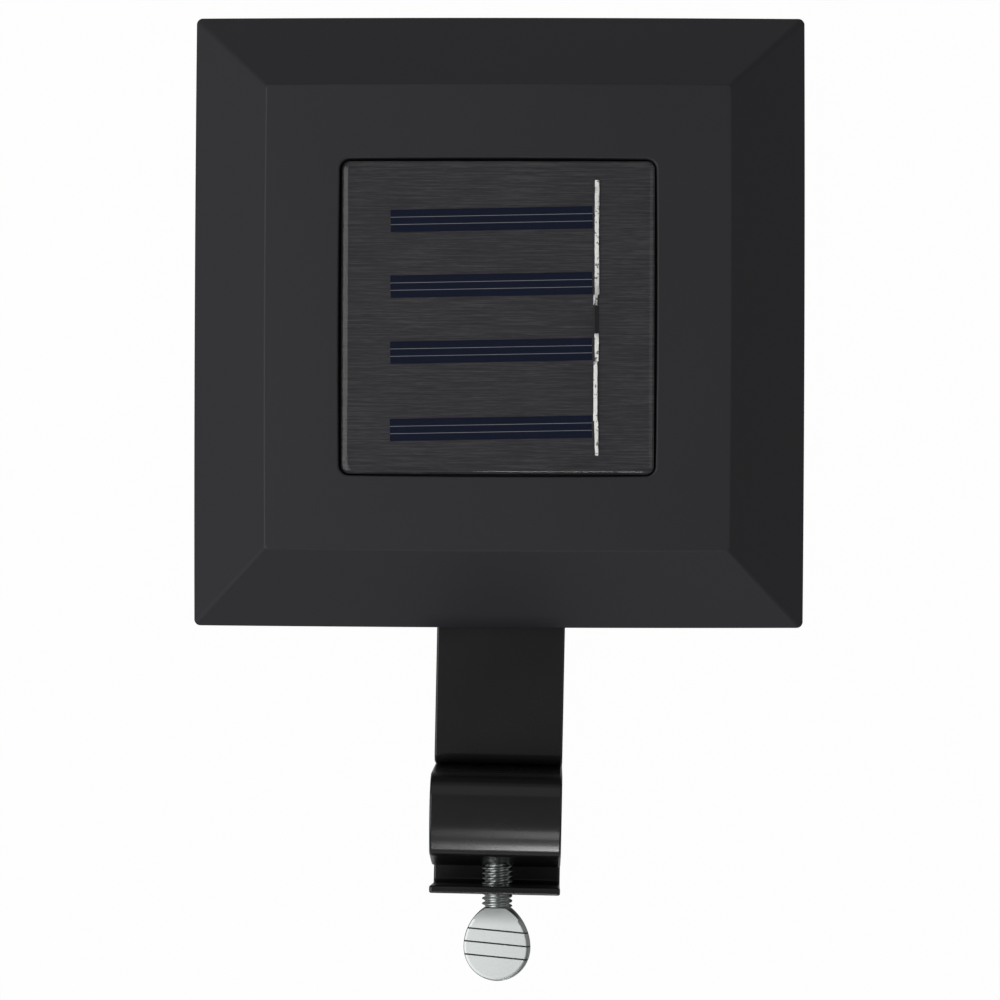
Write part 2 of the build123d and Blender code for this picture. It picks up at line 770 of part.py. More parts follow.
def bracket():
    """One bent steel strip, drilled for the strap screws and for the thumb screw."""
    corners, bends = strip_line()
    left, left_bends = shifted_line(corners, bends, strip_thickness / 2)
    right, right_bends = shifted_line(corners, bends, -strip_thickness / 2)
    end = [strip_end_radius]
    radii = end + left_bends + end + end + right_bends[::-1] + end
    outline = FilletPolyline(*left, *right[::-1], radius=radii, close=True)
    strip = extrude(Plane.YZ * make_face(outline), strip_width / 2, both=True)
    for at in strap_screw_places():
        strip -= core(strap_screw_radius + strap_hole_gap, strap_under_z, underside_z, at)
    return strip - shank(thread_radius + thread_gap, -shoulder_reach, 0)


def bracket_screws():
    screws = []
    for at in strap_screw_places():
        head = screw_head(strap_head_radius, strap_under_z - strap_head_height, strap_under_z, at,
                          strap_head_edge, 0)
        foot_z = strap_under_z + strap_screw_length
        screws.append(head + core(strap_screw_radius, strap_under_z, foot_z, at))
    return group(screws)


# ---- Thumb screw ----
def shank(radius, start, end):
    """A round bar along +Y on the thumb screw's axis."""
    bar = Cylinder(radius, end - start, align=(Align.CENTER, Align.CENTER, Align.MIN))
    return Pos(0, start, thumb_screw_z) * Rot(-90, 0, 0) * bar


def spade_outline():
    """The flat head seen from above: a round end with flanks that draw in to the shoulder."""
    widest_y = -spade_flank_length
    flank_angle = math.degrees(math.asin(spade_flank_length / spade_flank_radius))
    centre_x = spade_flank_radius - spade_radius
    end_arc = CenterArc((0, widest_y), spade_radius, 180, 180)
    right = CenterArc((-centre_x, widest_y), spade_flank_radius, 0, flank_angle)
    left = CenterArc((centre_x, widest_y), spade_flank_radius, 180, -flank_angle)
    return make_face([end_arc, right, Line(right @ 1, left @ 1), left])


def thumb_screw():
    spade = extrude(spade_outline(), spade_thickness / 2, both=True)
    rims = [face.outer_wire().edges() for face in (spade.faces().sort_by(Axis.Z)[0],
                                                   spade.faces().sort_by(Axis.Z)[-1])]
    spade = chamfer(rims[0] + rims[1], spade_edge)
    neck = Cone(neck_end_radius, neck_radius, neck_length,
                align=(Align.CENTER, Align.CENTER, Align.MAX))
    head = spade + Rot(-90, 0, 0) * neck
    for step in range(grip_groove_count):
        for face_z in (-spade_thickness / 2, spade_thickness / 2):
            place = Pos(0, -grip_groove_start - step * grip_groove_spacing, face_z)
            head -= place * Rot(0, 0, grip_groove_tilt) * Box(
                2 * spade_flank_radius, grip_groove_width, 2 * grip_groove_depth)
    head = Pos(0, -shoulder_reach, thumb_screw_z) * head_angle * head
    return head + shank(thread_radius, -shoulder_reach, screw_tip_y)


def screw_tip_cap():
    """Plastic cap over the screw's end; the screw turns inside it."""
    cap = shank(cap_radius, screw_tip_y - cap_grip, screw_tip_y + cap_end_wall)
    cap = chamfer(cap.edges().filter_by(GeomType.CIRCLE), cap_edge_radius)
    return cap - shank(thread_radius + cap_gap, screw_tip_y - cap_grip, screw_tip_y + cap_gap)


# ---- Wires inside the housing ----
def wire(*route):
    """One insulated wire along straight runs and bends; each point is given from the housing."""
    points = [Vector(x, housing_y + y, z) for x, y, z in route]
    path = FilletPolyline(*points, radius=wire_bend_radius)
    return sweep(wire_section(path, wire_radius), path)


def panel_wire(side):
    """From the panel down through the slot, and in a loop onto the lamp board."""
    x = side * wire_pair_spacing / 2
    return wire((x, wire_slot_y, foam_top_z), (x, wire_slot_y, wire_loop_z),
                (x, pad_y, wire_loop_z), (x, pad_y, lamp_board_top_z))


def lane_to_pad(lane_x, low_z):
    """The end of a route: up beside the lamp board, in over its end and down onto its pad."""
    x = math.copysign(pad_x, lane_x)
    return [(lane_x, pad_y, low_z), (lane_x, pad_y, wire_loop_z), (x, pad_y, wire_loop_z),
            (x, pad_y, lamp_board_top_z)]


def wire_battery_black():
    return wire((-bay_length / 2, bay_y, contact_z), (-wire_lane_x, bay_y, contact_z),
                *lane_to_pad(-wire_lane_x, contact_z))


def wire_battery_red():
    x = switch_x - terminal_spacing
    rise_y = (bay_y + terminal_face_y) / 2
    return wire((bay_length / 2, bay_y, contact_z), (x, bay_y, contact_z),
                (x, rise_y, terminal_z), (x, terminal_face_y, terminal_z))


def wire_switch():
    return wire((switch_x, terminal_face_y, terminal_z), *lane_to_pad(switch_lane_x, terminal_z))


# ---- The object ----
object_parts = {
    "top_cover": top_cover(),
    "panel_seal": panel_seal(),
    "panel_board": panel_board(),
    "cell_strips": cell_strips(),
    "cell_ribbon": cell_ribbon(),
    "panel_resin": panel_resin(),
    "housing_seal": housing_seal(),
    "housing_screws": housing_screws(),
    "base_plate": base_plate(),
    "lens": lens(),
    "reflector": reflector(),
    "reflector_screws": reflector_screws(),
    "led_board": led_board(),
    "board_screws": board_screws(),
    "leds": leds(),
    "driver_chip": driver_chip(),
    "inductor": inductor(),
    "battery_cell": battery_cell(),
    "battery_spring": battery_spring(),
    "battery_contact": battery_contact(),
    "battery_cover": battery_cover(),
    "battery_cover_screw": battery_cover_screw(),
    "switch_body": switch_body(),
    "switch_slider": switch_slider(),
    "switch_screws": switch_screws(),
    "wire_panel_red": panel_wire(1),
    "wire_panel_black": panel_wire(-1),
    "wire_battery_red": wire_battery_red(),
    "wire_battery_black": wire_battery_black(),
    "wire_switch": wire_switch(),
    "bracket": bracket(),
    "bracket_screws": bracket_screws(),
    "thumb_screw": thumb_screw(),
    "screw_tip_cap": screw_tip_cap(),
}

os.makedirs("parts", exist_ok=True)
for name, shape in object_parts.items():
    export_step(shape, f"parts/{name}.step")
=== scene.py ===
import json
import math
import random

import bmesh
import bpy
from mathutils import Matrix, Vector


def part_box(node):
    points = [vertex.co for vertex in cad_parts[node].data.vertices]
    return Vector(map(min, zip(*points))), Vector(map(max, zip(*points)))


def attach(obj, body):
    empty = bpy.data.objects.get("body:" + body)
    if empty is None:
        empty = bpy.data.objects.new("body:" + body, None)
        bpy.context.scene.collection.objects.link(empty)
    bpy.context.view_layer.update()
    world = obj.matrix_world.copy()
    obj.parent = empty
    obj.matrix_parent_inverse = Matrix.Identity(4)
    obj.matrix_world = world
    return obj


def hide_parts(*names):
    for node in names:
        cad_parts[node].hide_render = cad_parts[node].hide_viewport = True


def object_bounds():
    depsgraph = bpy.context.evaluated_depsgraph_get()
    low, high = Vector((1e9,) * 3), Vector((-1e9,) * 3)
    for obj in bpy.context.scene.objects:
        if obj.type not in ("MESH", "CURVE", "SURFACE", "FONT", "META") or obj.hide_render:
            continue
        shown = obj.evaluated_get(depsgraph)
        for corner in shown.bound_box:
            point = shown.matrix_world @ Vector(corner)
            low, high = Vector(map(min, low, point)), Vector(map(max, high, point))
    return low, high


# Square solar lamp with a bent strip hook and a thumb screw, seen from straight above.
# Metres, +Z up, +Y from the hook to the lamp, the hook's seat at the origin.

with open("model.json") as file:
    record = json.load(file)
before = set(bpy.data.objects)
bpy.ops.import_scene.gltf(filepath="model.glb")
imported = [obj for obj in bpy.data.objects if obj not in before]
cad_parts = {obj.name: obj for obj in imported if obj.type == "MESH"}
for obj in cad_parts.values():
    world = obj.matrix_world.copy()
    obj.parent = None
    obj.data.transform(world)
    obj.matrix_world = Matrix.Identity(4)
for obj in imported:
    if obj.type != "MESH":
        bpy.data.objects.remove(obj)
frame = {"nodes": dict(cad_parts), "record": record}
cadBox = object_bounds()
mm = 0.001
print("frame loaded")


class Signal:
    # a node's output; each operator adds its Math node
    def __init__(self, graph, socket):
        self.graph = graph
        self.socket = socket

    def math(self, operation, first, second=0.0):
        return self.graph.node("ShaderNodeMath", {"operation": operation}, [first, second])

    def __add__(self, other):
        return self.math("ADD", self, other)

    def __radd__(self, other):
        return self.math("ADD", other, self)

    def __sub__(self, other):
        return self.math("SUBTRACT", self, other)

    def __rsub__(self, other):
        return self.math("SUBTRACT", other, self)

    def __mul__(self, other):
        return self.math("MULTIPLY", self, other)

    def __rmul__(self, other):
        return self.math("MULTIPLY", other, self)

    def __truediv__(self, other):
        return self.math("DIVIDE", self, other)

    def __rtruediv__(self, other):
        return self.math("DIVIDE", other, self)

    def __gt__(self, other):
        return self.math("GREATER_THAN", self, other)

    def __lt__(self, other):
        return self.math("LESS_THAN", self, other)

    def __abs__(self):
        return self.math("ABSOLUTE", self)

    def part(self, index):
        return self.graph.node("ShaderNodeSeparateXYZ", {}, [self], out=index)


class Graph:
    # a tree of nodes, for a material or for geometry
    def __init__(self, tree):
        self.tree = tree
        self.tree.nodes.clear()

    def feed(self, socket, value):
        if isinstance(value, Signal):
            self.tree.links.new(value.socket, socket)
        elif value is not None:
            socket.default_value = value

    def node(self, kind, settings, values, out=0):
        made = self.tree.nodes.new(kind)
        for key, value in settings.items():
            if key == "stops":
                ramp = made.color_ramp
                while len(ramp.elements) < len(value):
                    ramp.elements.new(0.5)
                for element, (place, colour) in zip(ramp.elements, value):
                    element.position, element.color = place, colour
            else:
                setattr(made, key, value)
        pairs = values.items() if isinstance(values, dict) else enumerate(values)
        for key, value in pairs:
            self.feed(made.inputs[key], value)
        return Signal(self, made.outputs[out]) if made.outputs else None


class Finish(Graph):
    # one material
    def __init__(self, name):
        self.material = bpy.data.materials.new(name)
        self.material.use_nodes = True
        super().__init__(self.material.node_tree)

    def place(self, scale=(1, 1, 1), turn=0.0, shift=(0, 0, 0)):
        spot = self.node("ShaderNodeTexCoord", {}, [], out=3)
        values = {"Vector": spot, "Location": shift, "Rotation": (0, 0, turn), "Scale": scale}
        return self.node("ShaderNodeMapping", {}, values)

    def speckle(self, scale, detail=2.0, rough=0.5, at=None):
        values = {"Vector": at or self.place(), "Scale": scale, "Detail": detail, "Roughness": rough}
        return self.node("ShaderNodeTexNoise", {}, values)

    def mix(self, amount, first, second):
        return self.node("ShaderNodeMix", {"data_type": "RGBA"}, {0: amount, 6: first, 7: second}, out=2)

    def bump(self, height, strength, depth):
        return self.node("ShaderNodeBump", {}, {"Height": height, "Strength": strength, "Distance": depth})

    def surface(self, values):
        return self.node("ShaderNodeBsdfPrincipled", {}, values)

    def done(self, shader):
        self.node("ShaderNodeOutputMaterial", {}, {"Surface": shader})
        return self.material


def shade(red, green=None, blue=None):
    # a colour as seen on screen, 0 to 255, made linear
    seen = (red, red if green is None else green, red if blue is None else blue)
    linear = [(c / 255 / 12.92) if c <= 10 else ((c / 255 + 0.055) / 1.055) ** 2.4 for c in seen]
    return (*linear, 1.0)


print("graph helpers ready")


def mouldedPlastic(name, colour, roughness, grain=1.0):
    look = Finish(name)
    fine = look.speckle(2600, 2)
    cloudy = look.speckle(28, 3)
    tint = look.mix(cloudy, [c * 0.9 for c in colour[:3]] + [1], [c * 1.1 for c in colour[:3]] + [1])
    values = {
        "Base Color": tint,
        "Roughness": roughness + (cloudy - 0.5) * 0.08,
        "Normal": look.bump(fine, 0.35 * grain, 0.02 * mm),
    }
    return look.done(look.surface(values))


def stovedPaint():
    look = Finish("stovedPaint")
    peel = look.speckle(520, 2)
    dust = look.speckle(3200, 1)
    wear = look.speckle(60, 4)
    values = {
        "Base Color": look.mix(wear, shade(24, 24, 26), shade(30, 30, 32)),
        "Roughness": 0.2 + wear * 0.12,
        "Normal": look.bump(peel + dust * 0.25, 0.28, 0.03 * mm),
        "Coat Weight": 0.35,
        "Coat Roughness": 0.12,
    }
    return look.done(look.surface(values))


def platedMetal(name, colour, roughness, brush=0.0):
    look = Finish(name)
    cloudy = look.speckle(220, 4, 0.6)
    lines = look.speckle(1.0, 3, 0.6, look.place((4200, 500, 4200), 0.2))
    values = {
        "Base Color": look.mix(cloudy, [c * 0.82 for c in colour[:3]] + [1], colour),
        "Metallic": 1.0,
        "Roughness": roughness + (cloudy - 0.5) * 0.16,
        "Normal": look.bump(cloudy * 0.4 + lines * brush, 0.25, 0.02 * mm),
    }
    return look.done(look.surface(values))


def gripMetal():
    # plated steel with painted shade in its cut grooves, laid out by the grip's own sizes
    look = Finish("gripMetal")
    s = spadeShape
    cloudy = look.speckle(220, 4, 0.6)
    spot = look.place()
    along = s["shoulderY"] - s["grooveStart"] - spot.part(1) + spot.part(0) * math.tan(s["grooveTilt"])
    row = along / s["grooveStep"]
    nearest = abs(row - row.math("ROUND", row))
    inRows = (row > -0.5) * (row < s["grooveCount"] - 0.5)
    # painted shade: the grooves are cut in the mesh, and this darkens them as shade falling in them would
    grooveShade = (nearest < s["grooveWidth"] / 2 / s["grooveStep"]) * inRows
    steel = look.mix(cloudy, shade(183, 187, 186), shade(204, 209, 208))
    values = {
        "Base Color": look.mix(grooveShade, steel, shade(46, 46, 50)),
        "Metallic": 1.0,
        "Roughness": 0.3 + (cloudy - 0.5) * 0.16,
        "Normal": look.bump(cloudy, 0.2, 0.02 * mm),
    }
    return look.done(look.surface(values))


def brushedBacking():
    # printed board under the resin, with fine streaks along its rows
    look = Finish("brushedBacking")
    streaks = look.speckle(1.0, 4, 0.65, look.place((90, 3600, 1)))
    fine = look.speckle(1.0, 2, 0.5, look.place((420, 9000, 1)))
    cloudy = look.speckle(40, 2)
    amount = streaks * 0.62 + fine * 0.28 + cloudy * 0.1
    stops = [(0.30, shade(40, 42, 48)), (0.50, shade(63, 62, 69)), (0.72, shade(104, 102, 104))]
    tint = look.node("ShaderNodeValToRGB", {"stops": stops}, [amount])
    values = {"Base Color": tint, "Roughness": 0.55 - streaks * 0.15, "Specular IOR Level": 0.3}
    return look.done(look.surface(values))


cellLook = {"lines": (1 / 3, 2 / 3), "lineHalf": 0.012}     # shares of a strip's width


def solarSilicon():
    # U runs along a strip and V across it; with two printed lines
    look = Finish("solarSilicon")
    spot = look.node("ShaderNodeTexCoord", {}, [], out=2)
    across = spot.part(1)
    first, second = [abs(across - line) < cellLook["lineHalf"] for line in cellLook["lines"]]
    lines = first + second
    cloudy = look.speckle(160, 3)
    silicon = look.mix(cloudy, shade(8, 18, 43), shade(13, 26, 54))
    values = {
        "Base Color": look.mix(lines, silicon, shade(150, 152, 160)),
        "Roughness": 0.42 - lines * 0.1,
        "Specular IOR Level": 0.05,
    }
    return look.done(look.surface(values))


# where the foil is painted darker, as shade on the stretch that leans over
foilLook = {"shadeFrom": 24.0 * mm, "shadeTo": 29.4 * mm}     # from the ribbon's upper end


def tinnedFoil():
    # solder over foil: pale, crumpled, with small dark pits and one stretch darkened as painted shade
    look = Finish("tinnedFoil")
    crumple = look.speckle(900, 3, 0.6)
    pits = look.speckle(1500, 2, 0.7) > 0.6
    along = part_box("cell_ribbon")[1].y - look.place().part(1)
    # painted shade over the stretch where the foil leans over
    shadedStretch = (along > foilLook["shadeFrom"]) * (along < foilLook["shadeTo"])
    tin = look.mix(crumple, shade(190, 190, 190), shade(252, 252, 250))
    values = {
        "Base Color": look.mix(shadedStretch, look.mix(pits, tin, shade(110, 110, 112)), shade(38, 37, 38)),
        "Metallic": 0.6,
        "Roughness": 0.3 + crumple * 0.2,
        "Normal": look.bump(crumple, 0.6, 0.05 * mm),
    }
    return look.done(look.surface(values))


def clearResin():
    # clear all through, with gloss on its outer faces only
    look = Finish("clearResin")
    ripple = look.speckle(55, 1)
    wavy = look.bump(ripple, 0.12, 0.4 * mm)
    gloss = look.node("ShaderNodeBsdfGlossy", {}, {
        "Color": (1, 1, 1, 1), "Roughness": 0.06, "Normal": wavy})
    clear = look.node("ShaderNodeBsdfTransparent", {}, {"Color": (0.96, 0.96, 0.95, 1)})
    inside = look.node("ShaderNodeNewGeometry", {}, [], out=6)
    edge = look.node("ShaderNodeFresnel", {}, {"IOR": 1.5, "Normal": wavy}) * (1 - inside)
    return look.done(look.node("ShaderNodeMixShader", {}, [edge, clear, gloss]))


def frostedPlastic():
    look = Finish("frostedPlastic")
    frost = look.speckle(1800, 2)
    cloudy = look.speckle(40, 2)
    values = {
        "Base Color": look.mix(cloudy, shade(226, 227, 224), shade(240, 241, 239)),
        "Roughness": 0.38 + frost * 0.15,
        "Normal": look.bump(frost, 0.3, 0.02 * mm),
        "Transmission Weight": 0.35,
        "IOR": 1.46,
    }
    return look.done(look.surface(values))


sleeveLook = {"bandFrom": 14 * mm}      # along X, from the lamp's middle


def cellSleeve():
    # shrink sleeve of the battery: plain colour with a paler band at the raised end
    look = Finish("cellSleeve")
    along = look.node("ShaderNodeTexCoord", {}, [], out=3).part(0)
    band = along > sleeveLook["bandFrom"]
    crease = look.speckle(300, 3)
    green = look.mix(crease, shade(42, 96, 66), shade(52, 112, 78))
    values = {
        "Base Color": look.mix(band, green, shade(206, 208, 204)),
        "Roughness": 0.34 + crease * 0.1,
        "Normal": look.bump(crease, 0.2, 0.03 * mm),
    }
    return look.done(look.surface(values))


def paperFloor():
    # white paper: plain white to the camera, with the object's shadow left on it
    look = Finish("paperFloor")
    tooth = look.speckle(260, 3)
    paper = look.node("ShaderNodeBsdfDiffuse", {}, {"Color": look.mix(tooth, shade(168), shade(174))})
    glow = look.node("ShaderNodeEmission", {}, {"Color": (1, 1, 1, 1), "Strength": 1.0})
    rays = look.tree.nodes.new("ShaderNodeLightPath")
    kinds = ("Is Camera Ray", "Is Glossy Ray", "Is Transmission Ray")
    direct, mirrored, through = [Signal(look, rays.outputs[kind]) for kind in kinds]
    straight = direct.math("MAXIMUM", direct, through)
    amount = straight * floorLook["whiteness"] + mirrored * floorLook["whitenessInGloss"]
    sheet = look.node("ShaderNodeMixShader", {}, [amount, paper, glow])
    beneath = look.node("ShaderNodeNewGeometry", {}, [], out=6)  # seen from below, the sheet isn't there
    clear = look.node("ShaderNodeBsdfTransparent", {}, {"Color": (1, 1, 1, 1)})
    return look.done(look.node("ShaderNodeMixShader", {}, [beneath, sheet, clear]))


finishes = {
    "black_housing": mouldedPlastic("blackHousing", shade(43, 42, 47), 0.5),
    "foam_tape": mouldedPlastic("foamTape", shade(30), 0.9, 2.5),
    "panel_backing": brushedBacking(),
    "solar_cell": solarSilicon(),
    "silver_ribbon": tinnedFoil(),
    "clear_resin": clearResin(),
    "seal_rubber": mouldedPlastic("sealRubber", shade(92, 93, 94), 0.75),
    "plated_steel": platedMetal("zincPlated", shade(214, 216, 216), 0.3, 0.5),
    "frosted_lens": frostedPlastic(),
    "white_plastic": mouldedPlastic("whiteReflector", shade(232, 232, 228), 0.35),
    "white_board": mouldedPlastic("whiteBoard", shade(226, 228, 222), 0.4, 0.4),
    "led_phosphor": mouldedPlastic("phosphor", shade(228, 196, 84), 0.5, 0.5),
    "chip_black": mouldedPlastic("chipEpoxy", shade(36, 36, 38), 0.6),
    "ferrite": mouldedPlastic("ferriteGrey", shade(58, 58, 62), 0.55, 1.6),
    "battery_sleeve": cellSleeve(),
    "nickel": platedMetal("nickelled", shade(206, 202, 192), 0.24),
    "switch_can": platedMetal("tinnedCan", shade(196, 197, 198), 0.32),
    "switch_black": mouldedPlastic("blackCap", shade(28, 28, 30), 0.42),
    "wire_red": mouldedPlastic("redWire", shade(150, 30, 28), 0.45, 0.3),
    "wire_black": mouldedPlastic("blackWire", shade(30, 30, 32), 0.45, 0.3),
    "black_coat": stovedPaint(),
}

for part in frame["record"]["subparts"]:
    for slot in frame["nodes"][part["node"]].material_slots:
        slot.material = finishes[part["material_slot"]]
print("finishes made:", len(finishes))


def roundLine(points, radii, steps):
    # a line of straight runs with an arc at each inner corner
    line = [points[0]]
    for before, corner, after, radius in zip(points, points[1:], points[2:], radii):
        back, on = (before - corner).normalized(), (after - corner).normalized()
        half = back.angle(on) / 2
        centre = corner + (back + on).normalized() * (radius / math.sin(half))
        reach = radius / math.tan(half)
        start = (corner + back * reach - centre).normalized()
        end = (corner + on * reach - centre).normalized()
        line += [centre + start.slerp(end, step / steps) * radius for step in range(steps + 1)]
    return line + [points[-1]]


def newPiece(name, bm, slotName, body="lamp", stands=(), weighted=True, sharpAngle=40):
    # a mesh at the origin that rides on its body and stands for its CAD nodes
    mesh = bpy.data.meshes.new(name)
    bm.to_mesh(mesh)
    bm.free()
    piece = bpy.data.objects.new(name, mesh)
    bpy.context.scene.collection.objects.link(piece)
    mesh.materials.append(finishes[slotName])
    mesh.shade_smooth()
    mesh.set_sharp_from_angle(angle=math.radians(sharpAngle))
    if weighted:
        piece.modifiers.new("weights", "WEIGHTED_NORMAL").keep_sharp = True
        flatten(piece)
    return settle(piece, body, stands)


def flatten(piece):
    # what the modifiers give becomes the piece's plain mesh
    seen = piece.evaluated_get(bpy.context.evaluated_depsgraph_get())
    made = bpy.data.meshes.new_from_object(seen)
    piece.modifiers.clear()
    piece.data = made
    made.name = piece.name


def bareObject(name, bm):
    # a plain object that is only used on the way
    mesh = bpy.data.meshes.new(name)
    bm.to_mesh(mesh)
    bm.free()
    made = bpy.data.objects.new(name, mesh)
    bpy.context.scene.collection.objects.link(made)
    return made


def carve(bm, away):
    # the first shape with the second one taken out of it
    blank, cutter = bareObject("blank", bm), bareObject("cutter", away)
    cut = blank.modifiers.new("cut", "BOOLEAN")
    cut.operation, cut.object, cut.solver = "DIFFERENCE", cutter, "EXACT"
    flatten(blank)
    carved = bmesh.new()
    carved.from_mesh(blank.data)
    for used in (blank, cutter):
        bpy.data.objects.remove(used)
    return carved


def settle(piece, body, stands):
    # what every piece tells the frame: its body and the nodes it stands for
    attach(piece, body)
    if stands:
        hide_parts(*stands)
    return piece


def ringFaces(bm, rings, closed=False):
    # quads between one ring of vertices and the next
    pairs = list(zip(rings, rings[1:])) + ([(rings[-1], rings[0])] if closed else [])
    for low, high in pairs:
        for step in range(len(low)):
            after = (step + 1) % len(low)
            bm.faces.new((low[step], low[after], high[after], high[step]))


def squareRing(half, corner, z, centre, steps=8, sideSteps=12, bow=0.0):
    # a square with round corners, its sides bowed out towards their middles
    ring = []
    for quarter in range(4):
        turn = Matrix.Rotation(quarter * math.pi / 2, 2)
        arc = [(half - corner + corner * math.cos(a), half - corner + corner * math.sin(a))
               for a in [step / steps * math.pi / 2 for step in range(steps + 1)]]
        side = [(half - corner) * (1 - 2 * step / sideSteps) for step in range(1, sideSteps)]
        spots = [Vector(spot) for spot in arc] + [Vector((along, half)) for along in side]
        for spot in spots:
            inset = bow * (min(abs(spot.x), abs(spot.y)) / half) ** 2
            ring.append(turn @ (spot * (1 - inset / half)))
    return [Vector((centre[0] + spot.x, centre[1] + spot.y, z)) for spot in ring]


def raiseRings(bm, line, centre, bow=0.0):
    # a ring of vertices for each (half side, corner radius, z)
    return [[bm.verts.new(co) for co in squareRing(*spot, centre, bow=bow)] for spot in line]


def squareLathe(line, centre):
    # rings one over the other, the first and the last one filled
    bm = bmesh.new()
    rings = raiseRings(bm, line, centre)
    ringFaces(bm, rings)
    bm.faces.new(rings[0][::-1])
    bm.faces.new(rings[-1])
    bmesh.ops.recalc_face_normals(bm, faces=bm.faces)
    return bm


print("mesh helpers ready")


coverLow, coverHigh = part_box("top_cover")
lampCentre = ((coverLow.x + coverHigh.x) / 2, (coverLow.y + coverHigh.y) / 2)

coverShape = {
    "rimHalf": (coverHigh.x - coverLow.x) / 2,
    "faceHalf": 44.7 * mm,
    "rimCorner": 1.2 * mm,
    "faceCorner": 0.8 * mm,
    "skirt": 5.5 * mm,
    "wall": 2.2 * mm,
    "footRound": 0.35 * mm,
    "rimRound": 0.45 * mm,
    "faceRound": 0.55 * mm,
    "mouthHalf": 30.55 * mm,
    "mouthCorner": 2.05 * mm,
    "mouthRound": 0.3 * mm,
    "trayDepth": 3.9 * mm,
    "trayWall": 1.8 * mm,
    "bow": 0.2 * mm,
    "roundSteps": 5,
}


def makeCover():
    s = coverShape
    low, top = coverLow.z, coverHigh.z
    rimZ = low + s["skirt"]
    trayZ = top - s["trayDepth"]
    inHalf = s["rimHalf"] - s["wall"]
    slope = s["wall"] * math.sqrt(2)
    roofZ = top - s["wall"]
    roofHalf = s["rimHalf"] - slope - (roofZ - rimZ)
    boxHalf = s["mouthHalf"] + s["trayWall"]
    corners = [
        (inHalf, s["rimCorner"], low), (s["rimHalf"], s["rimCorner"], low),
        (s["rimHalf"], s["rimCorner"], rimZ), (s["faceHalf"], s["faceCorner"], top),
        (s["mouthHalf"], s["mouthCorner"], top), (s["mouthHalf"], s["mouthCorner"], trayZ),
        (s["mouthHalf"] / 2, s["mouthCorner"], trayZ),
    ]
    radii = [s["footRound"], s["rimRound"], s["faceRound"], s["mouthRound"], s["mouthRound"]]
    outside = roundLine([Vector(corner) for corner in corners], radii, s["roundSteps"])
    trayFoot = trayZ - s["trayWall"]
    inside = [
        (boxHalf / 2, s["mouthCorner"], trayFoot), (boxHalf, s["mouthCorner"], trayFoot),
        (boxHalf, s["mouthCorner"], roofZ), (roofHalf, s["faceCorner"], roofZ),
        (s["rimHalf"] - slope, s["rimCorner"], rimZ), (inHalf, s["rimCorner"], rimZ - s["wall"]),
    ]
    bm = bmesh.new()
    outerRings = raiseRings(bm, outside, lampCentre, s["bow"])
    innerRings = raiseRings(bm, inside, lampCentre, s["bow"])
    ringFaces(bm, outerRings)
    ringFaces(bm, innerRings)
    ringFaces(bm, [innerRings[-1], outerRings[0]])
    bm.faces.new(outerRings[-1])
    bm.faces.new(innerRings[0])
    bmesh.ops.recalc_face_normals(bm, faces=bm.faces)
    return newPiece("coverShell", bm, "black_housing", stands=("top_cover",))


makeCover()
print("cover made")


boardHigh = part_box("panel_board")[1]

resinShape = {
    "half": 30 * mm,
    "corner": 1.5 * mm,
    "foot": 0.03 * mm,      # clear of the board, so that the two faces don't fight
    "edgeWidth": 1.6 * mm,
    "edgeDrop": 0.75 * mm,
    "crown": 0.06 * mm,
    "crownShares": (0.85, 0.6, 0.3),
    "sink": 0.3 * mm,       # below the cover's face
    "steps": 9,
}

stripShape = {
    "length": 38.7 * mm,
    "width": 4.25 * mm,
    "thickness": 0.2 * mm,
    "rows": (18.89 * mm, 6.27 * mm, -6.4 * mm, -21.25 * mm),
    "shift": -1.25 * mm,
    "tilt": math.radians(1.18),
}

ribbonShape = {
    "thickness": 0.09 * mm,
    "lift": 0.1 * mm,
    "stretch": 0.55 * mm,   # length of one step along the foil
    "seed": 4,
    "wander": 0.03,         # sideways at each step, in mm
    "flutter": 5,           # lean at each step, in degrees
    "leanLift": 0.4,
    # along the foil from its upper end in mm: place, side shift, width, lean in degrees
    "knots": ((0, 0.05, 0.85, -12), (10, 0.0, 0.8, -17), (21.9, 0.1, 0.85, -10),
              (22.0, -0.2, 0.8, -14), (23.9, -0.25, 0.75, -6), (24.0, 0.0, 0.7, 25),
              (29.4, 0.05, 0.7, 25), (29.5, 0.05, 0.85, -14), (34.7, 0.1, 0.7, -18),
              (34.8, -0.15, 0.75, -20), (46.1, -0.15, 0.8, -20), (46.2, 0.0, 0.8, -14),
              (53.4, 0.15, 0.6, -16)),
}


def makeResin():
    s = resinShape
    top = coverHigh.z - s["sink"]
    line = [(s["half"], s["corner"], boardHigh.z + s["foot"])]
    for step in range(s["steps"] + 1):
        turn = step / s["steps"] * math.pi / 2
        half = s["half"] - s["edgeWidth"] * (1 - math.cos(turn))
        line.append((half, s["corner"], top - s["edgeDrop"] * (1 - math.sin(turn))))
    inner = s["half"] - s["edgeWidth"]
    for share in s["crownShares"]:
        line.append((inner * share, s["corner"] * share, top + s["crown"] * (1 - share ** 2)))
    return newPiece("panelResin", squareLathe(line, lampCentre), "clear_resin", stands=("panel_resin",))


